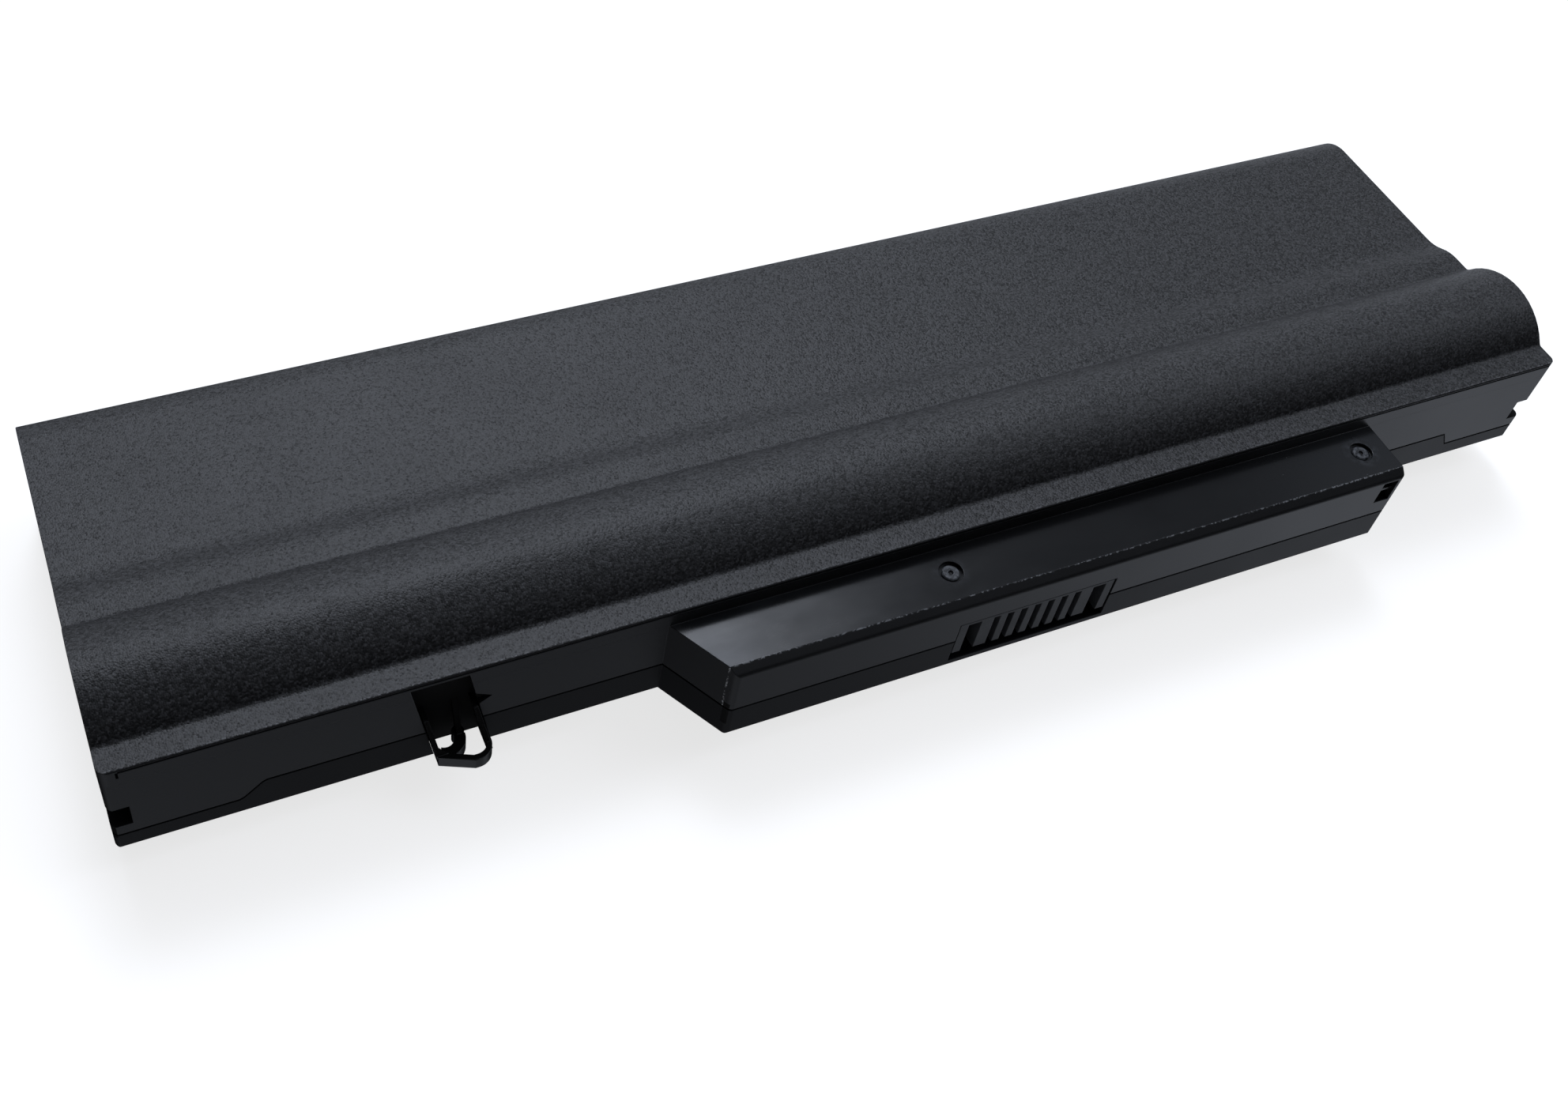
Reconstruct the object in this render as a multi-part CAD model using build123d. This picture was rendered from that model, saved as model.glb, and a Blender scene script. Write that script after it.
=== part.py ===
from build123d import *
import math
import os

# An extended laptop battery pack: nine cylindrical cells in three rows, in a two-part moulded case.
# X runs along the length, Y from the plug side to the back, Z up; the pack lies on its rear floor.
# The front row of cells lies higher than the other two and shows as the round ridge on top.

# Cells and the play round them
CELL_D = 18.2
CELL_L = 65.0
CELL_FIT = 0.1
ROW_RISE = 6.05
BUTTON_D = 6.4
BUTTON_H = 0.9
CRIMP_DEPTH = 0.7
CRIMP_SETBACK = 3.6
CRIMP_WIDTH = 1.6

# Case walls
WALL = 1.0
FRONT_ROOM = 2.1
FRONT_DROP = 1.0
LAND_H = 16.8
SHOULDER_RUN = 2.8
SLOPE_RUN = 6.2
BACK_ROUND = 5.8
FLOOR_ROUND = 2.0
STEP_ROUND = 0.8
FLANGE_EDGE = 0.25
FRONT_EDGE = 0.3
LEFT_CORNER_ROUND = 1.2
RIGHT_CORNER_ROUND = 1.2
BACK_CORNER_ROUND = 2.4
RIB_T = 1.4
RIB_H = 3.6

# Seam between the two shells, measured up from the front floor
SEAM_H = 5.5
SEAM_TILT = 0.2
SEAM_LOW_H = 2.9
SEAM_GROOVE = 0.3
SEAM_GROOVE_DEPTH = 0.4
JOG_INSET = 14.9
JOG_RUN = 2.9
JOG_EASE = 0.3
STEP_INSET = 13.9
STEP_RUN = 1.4

# Fine line under the front edge, and the shallow step below it
LINE_DROP = 0.3
LINE_T = 0.3
LINE_DEPTH = 0.4
LINE_INSET = 2.2
LINE_HOOK = 1.0
WALL_STEP = 0.15
WALL_STEP_DROP = 2.8

# Tongue that carries the plug
TONGUE_REACH = 9.1
TONGUE_H = 14.1
TONGUE_LEFT_BACK = -37.6
TONGUE_LEFT_FRONT = -32.3
TONGUE_RIGHT = 72.1
TONGUE_BEVEL = 1.1
TONGUE_ROUND = 1.0
TONGUE_LEFT_CORNER = 1.0
TONGUE_RIGHT_CORNER = 0.4

# Key slot beside the tongue's right corner
KEY_SIDE = 0.8
KEY_W = 2.6
KEY_H = 4.2
KEY_DEPTH = 1.9
KEY_DROP = 1.5
KEY_BAR = 0.5

# Plug: a comb of fingers with a contact in each slot
PLUG_X = 12.45
PLUG_SILL = 1.1
PLUG_END_FINGER = 1.5
PLUG_SLOT_WIDE = 2.0
PLUG_SLOT = 1.0
PLUG_PITCH = 2.1
PLUG_SLOTS = 7
PLUG_WIDE_FINGER = 1.9
PLUG_SET_IN = 0.1
PLUG_FIT = 0.25
PLUG_DEPTH = 7.4
PLUG_SPINE = 1.2
PLUG_BAND = 0.45
PLUG_FINGER_GAP = 1.0
PLUG_FINGER_BEVEL = 0.5
PLUG_TIP_BEVEL = 0.4
CONTACT_SHARE = 0.5
CONTACT_REACH = 3.4
CONTACT_H = 5.0

# Formed stakes that hold the shells and the board together
STAKE_1_X = 0.45
STAKE_2_INSET = 4.3
STAKE_FROM_NOSE = 5.3
STAKE_D = 1.8
STAKE_SEAT_D = 3.0
STAKE_HEAD_D = 2.5
STAKE_HEAD_H = 0.4
STAKE_DIMPLE_D = 0.8
STAKE_DIMPLE_DEPTH = 0.25
STAKE_SINK_D = 3.3
STAKE_SINK_DEPTH = 0.55
STAKE_FIT = 0.15
STANDOFF_INSET = 6.0

# Latch eye in its pocket
EYE_X = -64.2
POCKET_W = 7.3
POCKET_LEAN = 2.9
POCKET_DROP = 1.0
POCKET_SKIN = 0.8
POCKET_NICK_H = 9.9
POCKET_NICK = 1.8
POCKET_NICK_DEPTH = 0.8
EYE_REACH = 4.2
EYE_ARM = 0.6
EYE_ARM_RUN = 2.2
EYE_ARM_H = 8.4
EYE_FRONT_BAR = 0.8
EYE_T = 1.9
EYE_LIFT = 1.5
EYE_ROUND = 2.2
EYE_SLANT = 1.8
EYE_SLANT_RUN = 4.2
EYE_FIT = 0.2
STRUT_R = 2.0
STRUT_T = 1.4
STRUT_POST_T = 0.7
STRUT_SHIFT = -2.0
KNOB_D = 1.6
KNOB_TURN = 15.0

# Guide grooves in the ends
GUIDE_H = 3.7
GUIDE_LIFT = 4.8
GUIDE_DEPTH = 2.5
GUIDE_RUN = 18.0

# Strips, washers, pads and leads
STRIP_T = 0.2
STRIP_W = 6.0
TAB_W = 1.8
TAB_LAP = 0.6
WASHER_T = 0.4
WASHER_INSET = 0.6
WASHER_GAP = 0.4
WASHER_SIDES = 12
PAD_T = 7.4
LEAD_D = 1.2
LEAD_SIDES = 6
LEAD_BEND = 1.6
LEAD_LANE_END = 4.4
LEAD_LANE_MID = 6.2
LEAD_LIFT = 1.3
LEAD_RISE_Y = 0.5
LEAD_1_INSET = 5.0
LEAD_2_INSET = 11.0
LEAD_3_RUN = 6.0
LEAD_4_INSET = 9.0

# Board and what is on it
BOARD_T = 1.0
BOARD_GAP = 0.5
BOARD_REAR_GAP = 0.7
COMPONENT_ROOM = 2.5
COMPONENT_GAP = 2.1
GAUGE_SIZE = (9.6, 4.4, 1.2)
GAUGE_INSET = 14.3
SWITCH_SIZE = (4.9, 3.9, 1.5)
SWITCH_INSET = 6.0
FUSE_SIZE = (4.2, 3.2, 1.0)
SENSE_SIZE = (6.4, 3.2, 0.7)
CAPACITOR_SIZE = (0.9, 1.6, 0.9)
CAPACITOR_INSET = 6.0
CAPACITOR_PITCH = 3.0

# Derived places
CELL_R = CELL_D / 2
PITCH = CELL_D + CELL_FIT
ROW_STEP = math.sqrt(PITCH ** 2 - ROW_RISE ** 2)
STACK = 3 * CELL_L + 4 * STRIP_T
LENGTH = STACK + 2 * PAD_T + 2 * WALL
END = LENGTH / 2
HUMP_R = CELL_R + CELL_FIT + WALL
ROW_Z = WALL + CELL_FIT + CELL_R
FRONT_FLOOR = ROW_RISE - FRONT_DROP
ROW_1 = (WALL + FRONT_ROOM + CELL_R, ROW_Z + ROW_RISE)
ROW_2 = (ROW_1[0] + ROW_STEP, ROW_Z)
ROW_3 = (ROW_2[0] + PITCH, ROW_Z)
DEPTH = ROW_3[0] + HUMP_R
PLATE = ROW_Z + HUMP_R
LAND = FRONT_FLOOR + LAND_H
STEP_Y = ROW_2[0] - HUMP_R
SEAM = FRONT_FLOOR + SEAM_H
SEAM_LOW = FRONT_FLOOR + SEAM_LOW_H
TONGUE_TOP = FRONT_FLOOR + TONGUE_H
BOARD_SEAT = TONGUE_TOP - WALL - COMPONENT_ROOM - BOARD_T
STAKE_Y = -TONGUE_REACH + STAKE_FROM_NOSE
STAKES = ((STAKE_1_X, STAKE_Y), (TONGUE_RIGHT - STAKE_2_INSET, STAKE_Y))
STRIP_X = [-STACK / 2 + i * (CELL_L + STRIP_T) for i in range(4)]
POCKET_DEPTH = WALL + FRONT_ROOM - POCKET_SKIN - CELL_FIT
POCKET_TOP = LAND - POCKET_DROP
LEAN = POCKET_LEAN / (POCKET_TOP - FRONT_FLOOR)
PLUG_HALF = (PLUG_SLOTS - 1) / 2 * PLUG_PITCH + PLUG_SLOT / 2 + PLUG_WIDE_FINGER + PLUG_SLOT_WIDE
OPENING_HALF = PLUG_HALF + PLUG_END_FINGER
OPENING_TOP = BOARD_SEAT - PLUG_BAND

# The origin is under the middle of the whole outline, so the front wall stands at this Y
FRONT = (TONGUE_REACH - DEPTH) / 2


def block(x, y, z):
    """Rectangular solid between three (low, high) pairs; Y counts back from the front wall."""
    size = [pair[1] - pair[0] for pair in (x, y, z)]
    middle = [(pair[1] + pair[0]) / 2 for pair in (x, y, z)]
    return Pos(middle[0], middle[1] + FRONT, middle[2]) * Box(*size)


def along_x(face_yz, x_low, x_high):
    """Extrude a face drawn in (y, z) along X between two stations."""
    plane = Plane(origin=(x_low, FRONT, 0), x_dir=(0, 1, 0), z_dir=(1, 0, 0))
    return extrude(plane * face_yz, amount=x_high - x_low)


def along_y(face_xz, y_low, y_high):
    """Extrude a face drawn in (x, z) along Y between two depths behind the front wall."""
    plane = Plane(origin=(0, FRONT + y_high, 0), x_dir=(1, 0, 0), z_dir=(0, -1, 0))
    return extrude(plane * face_xz, amount=y_high - y_low)


def along_z(face_xy, z_low, z_high):
    """Extrude a face drawn in (x, y) up Z between two heights."""
    return extrude(Pos(0, FRONT, z_low) * face_xy, amount=z_high - z_low)


def polygon(*points):
    """Flat face with straight sides through the points."""
    return make_face(Polyline(*points, close=True))


def section(rounded):
    """Outer section of the case in (y, z), with or without the small rounds on its front edges."""
    half_ridge = math.sqrt(HUMP_R ** 2 - (LAND - ROW_1[1]) ** 2)
    ridge_start = (ROW_1[0] - half_ridge, LAND)
    ridge_end = (ROW_1[0] + half_ridge, LAND)
    slope_start = (ridge_end[0] + SHOULDER_RUN, LAND)
    slope_end = (slope_start[0] + SLOPE_RUN, PLATE)
    slope_mid = ((slope_start[0] + slope_end[0]) / 2, (LAND + PLATE) / 2)
    step_z = LAND - WALL_STEP_DROP
    foot = (WALL_STEP, FRONT_FLOOR)
    edges = [
        Polyline(foot, (WALL_STEP, step_z), (0, step_z), (0, LAND), ridge_start),
        ThreePointArc(ridge_start, (ROW_1[0], ROW_1[1] + HUMP_R), ridge_end),
        Line(ridge_end, slope_start),
        TangentArc(slope_start, slope_mid, tangent=(1, 0)),
        TangentArc(slope_end, slope_mid, tangent=(-1, 0)),
        Polyline(slope_end, (DEPTH, PLATE), (DEPTH, 0), (STEP_Y, 0), (STEP_Y, FRONT_FLOOR), foot),
    ]
    face = make_face(edges)

    def corner(y, z):
        return face.vertices().sort_by_distance((y, z))[0]

    face = fillet(corner(DEPTH, PLATE), BACK_ROUND)
    face = fillet([corner(DEPTH, 0), corner(STEP_Y, 0)], FLOOR_ROUND)
    face = fillet([corner(STEP_Y, FRONT_FLOOR), corner(*ridge_start), corner(*ridge_end)], STEP_ROUND)
    if rounded:
        face = fillet(corner(0, LAND), FLANGE_EDGE)
        face = fillet(corner(*foot), FRONT_EDGE)
    return face


def body(inset):
    """The case without its tongue, shrunk on all sides by an inset."""
    face = section(True) if inset == 0 else offset(section(False), -inset, kind=Kind.INTERSECTION)
    bar = along_x(face, -END + inset, END - inset)
    plan = Pos(0, DEPTH / 2) * Rectangle(LENGTH - 2 * inset, DEPTH - 2 * inset)
    rounds = (
        (-END, 0, LEFT_CORNER_ROUND),
        (END, 0, RIGHT_CORNER_ROUND),
        (-END, DEPTH, BACK_CORNER_ROUND),
        (END, DEPTH, BACK_CORNER_ROUND),
    )
    ease = fillet if inset == 0 else chamfer
    for x, y, radius in rounds:
        plan = ease(plan.vertices().sort_by_distance((x, y))[0], radius)
    return bar & along_z(plan, 0, ROW_1[1] + 2 * HUMP_R)


def tongue(inset, root):
    """The tongue, shrunk by an inset and rooted to a depth behind the front wall."""
    lean = (TONGUE_LEFT_FRONT - TONGUE_LEFT_BACK) / TONGUE_REACH
    shift = inset * math.sqrt(1 + lean ** 2)
    nose = -TONGUE_REACH + inset
    left_nose = TONGUE_LEFT_FRONT - lean * inset + shift
    left_root = TONGUE_LEFT_BACK - lean * root + shift
    right = TONGUE_RIGHT - inset
    plan = polygon((left_root, root), (left_nose, nose), (right, nose), (right, root))
    for x, radius in ((left_nose, TONGUE_LEFT_CORNER), (right, TONGUE_RIGHT_CORNER)):
        plan = fillet(plan.vertices().sort_by_distance((x, nose))[0], radius)
    low = FRONT_FLOOR + inset
    high = TONGUE_TOP - inset
    brow = (nose, high - TONGUE_BEVEL)
    side = polygon((root, low), (nose, low), brow, (nose + TONGUE_BEVEL, high), (root, high))
    side = fillet(side.vertices().sort_by_distance(brow)[0], TONGUE_ROUND)
    side = fillet(side.vertices().sort_by_distance((nose, low))[0], FRONT_EDGE)
    return along_z(plan, low, high) & along_x(side, left_root, right)


def seam_line():
    """The stepped seam in (x, z): a soft rise at the left, a sharp step at the right."""
    rise = -END + JOG_INSET
    crest = rise + JOG_RUN
    fall = END - STEP_INSET
    crest_z = SEAM + SEAM_TILT
    slope = (crest_z - SEAM_LOW) / JOG_RUN
    return [
        (-END - WALL, SEAM_LOW),
        (rise - JOG_EASE, SEAM_LOW),
        (rise + JOG_EASE, SEAM_LOW + JOG_EASE * slope),
        (crest - JOG_EASE, crest_z - JOG_EASE * slope),
        (crest + JOG_EASE, crest_z),
        (TONGUE_LEFT_BACK, SEAM),
        (fall - STEP_RUN, SEAM),
        (fall, SEAM_LOW),
        (END + WALL, SEAM_LOW),
    ]


def seam_band(low, high):
    """Everything between two offsets from the seam, through the whole depth."""
    under = [(x, z + low) for x, z in seam_line()]
    over = [(x, z + high) for x, z in reversed(seam_line())]
    return along_y(polygon(*under, *over), -2 * TONGUE_REACH, DEPTH + WALL)


def edge_line():
    """Fine groove under the flange, with a short hook down at its left end."""
    top = LAND - LINE_DROP
    start = -END + LINE_INSET
    y = (-WALL, LINE_DEPTH)
    run = block((start, END + WALL), y, (top - LINE_T, top))
    return run + block((start - LINE_T, start), y, (top - LINE_T - LINE_HOOK, top - LINE_T / 2))


def leaning(grow, y_low, y_high):
    """Prism of the latch pocket's leaning outline, widened on all sides by a skin."""
    low = FRONT_FLOOR - WALL - 2 * abs(grow)
    high = POCKET_TOP + grow
    left = EYE_X - POCKET_W / 2 - grow
    right = EYE_X + POCKET_W / 2 + grow
    shift_low = LEAN * (FRONT_FLOOR - low)
    shift_high = LEAN * (high - FRONT_FLOOR)
    face = polygon(
        (left + shift_low, low),
        (right + shift_low, low),
        (right - shift_high, high),
        (left - shift_high, high),
    )
    return along_y(face, y_low, y_high)


def pocket(grow):
    """Recess for the latch eye, open to the front and below."""
    return leaning(grow, -WALL, POCKET_DEPTH + grow)


def pocket_nick():
    """Small three-cornered nick in the pocket's right edge."""
    z = FRONT_FLOOR + POCKET_NICK_H
    edge = EYE_X + POCKET_W / 2 - LEAN * POCKET_NICK_H
    face = polygon((edge - WALL, z + POCKET_NICK), (edge + POCKET_NICK, z), (edge - WALL, z - POCKET_NICK))
    return along_y(face, -WALL, POCKET_NICK_DEPTH)


def latch_eye():
    """Eye that the latch grips: two thin arms, a slanted front bar and a curved strut with a knob."""
    low = FRONT_FLOOR + EYE_LIFT
    top = low + EYE_T
    arm_top = FRONT_FLOOR + EYE_ARM_H
    arm_foot = SEAM + SEAM_TILT + EYE_FIT
    back = POCKET_DEPTH - EYE_FIT
    bar_back = -EYE_REACH + EYE_FRONT_BAR
    middle = EYE_X - LEAN * (EYE_LIFT + EYE_T / 2)
    half = POCKET_W / 2 - EYE_FIT
    side = polygon(
        (POCKET_DEPTH, arm_top),
        (0, arm_top),
        (-EYE_ARM_RUN, top),
        (-EYE_ARM_RUN, low),
        (back, low),
        (back, arm_foot),
        (POCKET_DEPTH, arm_foot),
    )
    arms = along_x(side, EYE_X - POCKET_W, EYE_X + POCKET_W) & leaning(-EYE_FIT, bar_back, POCKET_DEPTH)
    eye = along_z(rounded_nose(middle - half, middle + half, -EYE_REACH, back, EYE_ROUND), low, top) + arms
    hole = leaning(-EYE_FIT - EYE_ARM, bar_back, POCKET_DEPTH + WALL)
    inner = middle + half - EYE_ARM
    inner_plan = rounded_nose(inner - 2 * POCKET_W, inner, bar_back, back + 2 * WALL, EYE_ROUND - EYE_ARM)
    hole &= along_z(inner_plan, 0, LAND)
    slant = polygon(
        (middle - half, -EYE_REACH + EYE_SLANT),
        (middle - half + EYE_SLANT_RUN, -EYE_REACH),
        (middle - half + EYE_SLANT_RUN, -EYE_REACH - WALL),
        (middle - half - WALL, -EYE_REACH - WALL),
        (middle - half - WALL, -EYE_REACH + EYE_SLANT),
    )
    eye -= along_z(slant, 0, LAND)
    hole -= along_z(Pos(0, EYE_FRONT_BAR) * slant, 0, LAND)
    return eye - hole + eye_strut(middle + STRUT_SHIFT, low, top)


def rounded_nose(x_low, x_high, nose, back, radius):
    """Plan of a bar's outline with its front right corner rounded."""
    plan = Pos((x_low + x_high) / 2, (nose + back) / 2) * Rectangle(x_high - x_low, back - nose)
    return fillet(plan.vertices().sort_by_distance((x_high, nose))[0], radius)


def eye_strut(x, low, top):
    """Strut that curves from the front bar to a knob, and the post that ties it to the pocket."""
    ring = Circle(STRUT_R + STRUT_T / 2) - Circle(STRUT_R - STRUT_T / 2)
    reach = STRUT_R + STRUT_T
    ring &= Pos((reach - STRUT_T / 2) / 2, -reach / 2) * Rectangle(reach + STRUT_T / 2, reach)
    turn = math.radians(KNOB_TURN)
    knob = Pos(STRUT_R * math.cos(turn), STRUT_R * math.sin(turn)) * Circle(KNOB_D / 2)
    post = polygon(
        (POCKET_DEPTH, FRONT_FLOOR + EYE_ARM_H),
        (0, top),
        (0, low),
        (POCKET_DEPTH, SEAM + SEAM_TILT + EYE_FIT),
    )
    post_x = x + STRUT_R
    strut = along_z(Pos(x, 0) * (ring + knob), low, top)
    return strut + along_x(post, post_x - STRUT_POST_T / 2, post_x + STRUT_POST_T / 2)


def guides(grow):
    """Grooves in both ends that run back from the front wall."""
    z = (FRONT_FLOOR + GUIDE_LIFT - grow, FRONT_FLOOR + GUIDE_LIFT + GUIDE_H + grow)
    y = (-WALL, GUIDE_RUN + grow)
    depth = GUIDE_DEPTH + grow
    left = block((-END - WALL, -END + depth), y, z)
    right = block((END - depth, END + WALL), y, z)
    return left + right


def key_slot(grow):
    """Upright slot beside the tongue's right corner, widened on all sides by a skin."""
    top = TONGUE_TOP - KEY_DROP
    right = TONGUE_RIGHT - KEY_SIDE
    y = (-TONGUE_REACH - WALL, -TONGUE_REACH + KEY_DEPTH + grow)
    return block((right - KEY_W - grow, right + grow), y, (top - KEY_H - grow, top + grow))


def key_bar():
    """Thin bar left across the middle of the key slot."""
    middle = TONGUE_TOP - KEY_DROP - KEY_H / 2
    right = TONGUE_RIGHT - KEY_SIDE
    y = (-TONGUE_REACH + KEY_BAR, -TONGUE_REACH + KEY_DEPTH)
    return block((right - KEY_W, right), y, (middle - KEY_BAR / 2, middle + KEY_BAR / 2))


def long_rib(y, z_low, z_high):
    """Rib along the whole stack of cells."""
    return block((-STACK / 2, STACK / 2), (y - RIB_T / 2, y + RIB_T / 2), (z_low, z_high))


def cell(row, column):
    """One sealed can, its button towards +X."""
    crimp = CELL_L - BUTTON_H - CRIMP_SETBACK
    outline = Polyline(
        (0, 0),
        (0, CELL_R),
        (crimp - CRIMP_WIDTH / 2, CELL_R),
        (crimp, CELL_R - CRIMP_DEPTH),
        (CELL_L - BUTTON_H, CELL_R),
        (CELL_L - BUTTON_H, BUTTON_D / 2),
        (CELL_L, BUTTON_D / 2),
        (CELL_L, 0),
        close=True,
    )
    can = revolve(make_face(outline), Axis.X)
    return Pos(STRIP_X[column] + STRIP_T, FRONT + row[0], row[1]) * can


def washer(row, column):
    """Insulating ring round the button of one cell."""
    x = STRIP_X[column + 1] - BUTTON_H
    hole = RegularPolygon(BUTTON_D / 2 + WASHER_GAP, WASHER_SIDES)
    ring = RegularPolygon(CELL_R - WASHER_INSET, WASHER_SIDES) - hole
    return along_x(Pos(*row) * ring, x, x + WASHER_T)


def strip(index):
    """Welded strip across the three rows, with a tab that reaches its lead in the front corner."""
    face = ribbon(ROW_1, ROW_2, STRIP_W, STRIP_W / 2)
    face += ribbon(ROW_2, ROW_3, STRIP_W, STRIP_W / 2)
    face += ribbon(ROW_1, lead_lane(index), TAB_W, TAB_LAP)
    return along_x(face, STRIP_X[index], STRIP_X[index] + STRIP_T)


def ribbon(start, stop, width, lap):
    """Straight band between two points in (y, z), run on past both by a lap."""
    length = math.dist(start, stop) + 2 * lap
    angle = math.degrees(math.atan2(stop[1] - start[1], stop[0] - start[0]))
    middle = ((start[0] + stop[0]) / 2, (start[1] + stop[1]) / 2)
    return Pos(*middle) * Rot(0, 0, angle) * Rectangle(length, width)


def lead_lane(index):
    """Place in (y, z) of the lead that leaves a strip."""
    y = LEAD_LANE_END if index in (0, 3) else LEAD_LANE_MID
    return (y, FRONT_FLOOR + WALL + LEAD_LIFT)


def lead(index, target):
    """Insulated lead from a strip along the front corner and up to the underside of the board."""
    y, z = lead_lane(index)
    start = STRIP_X[index] + STRIP_T if target > STRIP_X[index] else STRIP_X[index]
    points = [
        (start, FRONT + y, z),
        (target, FRONT + y, z),
        (target, FRONT + LEAD_RISE_Y, z),
        (target, FRONT + LEAD_RISE_Y, BOARD_SEAT),
    ]
    path = FilletPolyline(*points, radius=LEAD_BEND)
    profile = Plane(origin=points[0], z_dir=path % 0) * RegularPolygon(LEAD_D / 2, LEAD_SIDES)
    return sweep(profile, path=path)


def slot_centres():
    """Slot middles and widths across the plug, from left to right."""
    span = (PLUG_SLOTS - 1) / 2
    narrow = [(PLUG_X + (i - span) * PLUG_PITCH, PLUG_SLOT) for i in range(PLUG_SLOTS)]
    wide = PLUG_HALF - PLUG_SLOT_WIDE / 2
    return [(PLUG_X - wide, PLUG_SLOT_WIDE)] + narrow + [(PLUG_X + wide, PLUG_SLOT_WIDE)]


def plug():
    """Comb of fingers hanging from a band, joined along the back by a spine."""
    nose = -TONGUE_REACH + PLUG_SET_IN
    inside = -TONGUE_REACH + WALL + PLUG_FIT
    back = nose + PLUG_DEPTH
    tip = FRONT_FLOOR + PLUG_SILL + PLUG_FINGER_GAP
    band_top = OPENING_TOP - PLUG_FIT
    top = BOARD_SEAT
    front = ((nose, tip), (nose, band_top), (inside, band_top), (inside, top))
    side = polygon(*front, (back, top), (back, tip))
    side = chamfer(side.vertices().sort_by_distance((nose, tip))[0], PLUG_FINGER_BEVEL)
    comb = along_x(side, PLUG_X - OPENING_HALF + PLUG_FIT, PLUG_X + OPENING_HALF - PLUG_FIT)
    rear_half = PLUG_X - STAKE_1_X - STAKE_SEAT_D / 2 - 2 * STAKE_FIT
    for sign in (-1, 1):
        edge = sorted((PLUG_X + sign * rear_half, PLUG_X + sign * (OPENING_HALF + WALL)))
        comb -= block(edge, (inside + WALL, back + WALL), (FRONT_FLOOR, TONGUE_TOP))
    for x, width in slot_centres():
        low, high = x - width / 2, x + width / 2
        comb -= block((low, high), (nose - WALL, back - PLUG_SPINE), (FRONT_FLOOR, band_top - PLUG_BAND))
        comb -= block((low, high), (inside + PLUG_BAND, back - PLUG_SPINE), (FRONT_FLOOR, TONGUE_TOP))
        mouth = polygon(
            (low - PLUG_TIP_BEVEL, tip),
            (high + PLUG_TIP_BEVEL, tip),
            (high, tip + PLUG_TIP_BEVEL),
            (low, tip + PLUG_TIP_BEVEL),
        )
        comb -= along_y(mouth, nose - WALL, back - PLUG_SPINE)
    return comb


def contacts():
    """One contact per slot, standing on the spine and reaching up to the board."""
    back = -TONGUE_REACH + PLUG_SET_IN + PLUG_DEPTH - PLUG_SPINE
    y = (back - CONTACT_REACH, back)
    z = (BOARD_SEAT - CONTACT_H, BOARD_SEAT)
    group = []
    for x, width in slot_centres():
        half = width * CONTACT_SHARE / 2
        group.append(block((x - half, x + half), y, z))
    return group


def post(x, y, z_low, z_high, diameter):
    """Upright round post between two heights."""
    middle = (z_low + z_high) / 2
    return Pos(x, FRONT + y, middle) * Cylinder(diameter / 2, z_high - z_low)


def seat_post(x, y):
    """Post on the lower shell's floor that the board sits on."""
    return post(x, y, FRONT_FLOOR + WALL / 2, BOARD_SEAT, STAKE_SEAT_D)


def stake(x, y):
    """Post of the lower shell: a seat for the board, a pin through it and a formed head on the roof."""
    head_z = TONGUE_TOP - STAKE_SINK_DEPTH
    radius = STAKE_HEAD_D / 2
    dimple = STAKE_DIMPLE_D / 2
    outline = Polyline(
        (0, 0),
        (radius, 0),
        (radius, STAKE_HEAD_H / 2),
        (radius - STAKE_HEAD_H / 2, STAKE_HEAD_H),
        (dimple, STAKE_HEAD_H),
        (dimple / 2, STAKE_HEAD_H - STAKE_DIMPLE_DEPTH),
        (0, STAKE_HEAD_H - STAKE_DIMPLE_DEPTH),
        close=True,
    )
    head = Pos(x, FRONT + y, head_z) * revolve(Plane.XZ * make_face(outline), Axis.Z)
    return seat_post(x, y) + post(x, y, BOARD_SEAT, head_z, STAKE_D) + head


def stake_holes():
    """Clearance holes and sinks for the stakes in the roof of the tongue."""
    tool = None
    for x, y in STAKES:
        place = Pos(x, FRONT + y, TONGUE_TOP)
        hole = place * Cylinder(STAKE_D / 2 + STAKE_FIT, 4 * WALL)
        sink = place * Cylinder(STAKE_SINK_D / 2, 2 * STAKE_SINK_DEPTH)
        tool = hole + sink if tool is None else tool + hole + sink
    return tool


def board():
    """Protection board in the tongue, with holes for the stakes."""
    left = TONGUE_LEFT_FRONT + WALL + 2 * BOARD_GAP
    right = TONGUE_RIGHT - WALL - BOARD_GAP
    y = (-TONGUE_REACH + WALL + 2 * BOARD_GAP, WALL + FRONT_ROOM - BOARD_REAR_GAP)
    plate = block((left, right), y, (BOARD_SEAT, BOARD_SEAT + BOARD_T))
    plate -= key_slot(WALL + BOARD_GAP)
    for x, depth in STAKES:
        plate -= Pos(x, FRONT + depth, BOARD_SEAT) * Cylinder(STAKE_D / 2 + STAKE_FIT, 4 * BOARD_T)
    return plate


def chip(x, size):
    """Plain component body on top of the board, centred across it."""
    z = BOARD_SEAT + BOARD_T
    across = (STAKE_Y - size[1] / 2, STAKE_Y + size[1] / 2)
    return block((x - size[0] / 2, x + size[0] / 2), across, (z, z + size[2]))


def end_pad(sign):
    """Foam block between an end strip and the end wall, cut to the section of the case."""
    inner = STACK / 2
    outer = END - WALL
    span = (inner, outer) if sign > 0 else (-outer, -inner)
    slab = block(span, (0, DEPTH), (0, LAND + HUMP_R))
    return (body(WALL) & slab) - guides(WALL)


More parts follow.
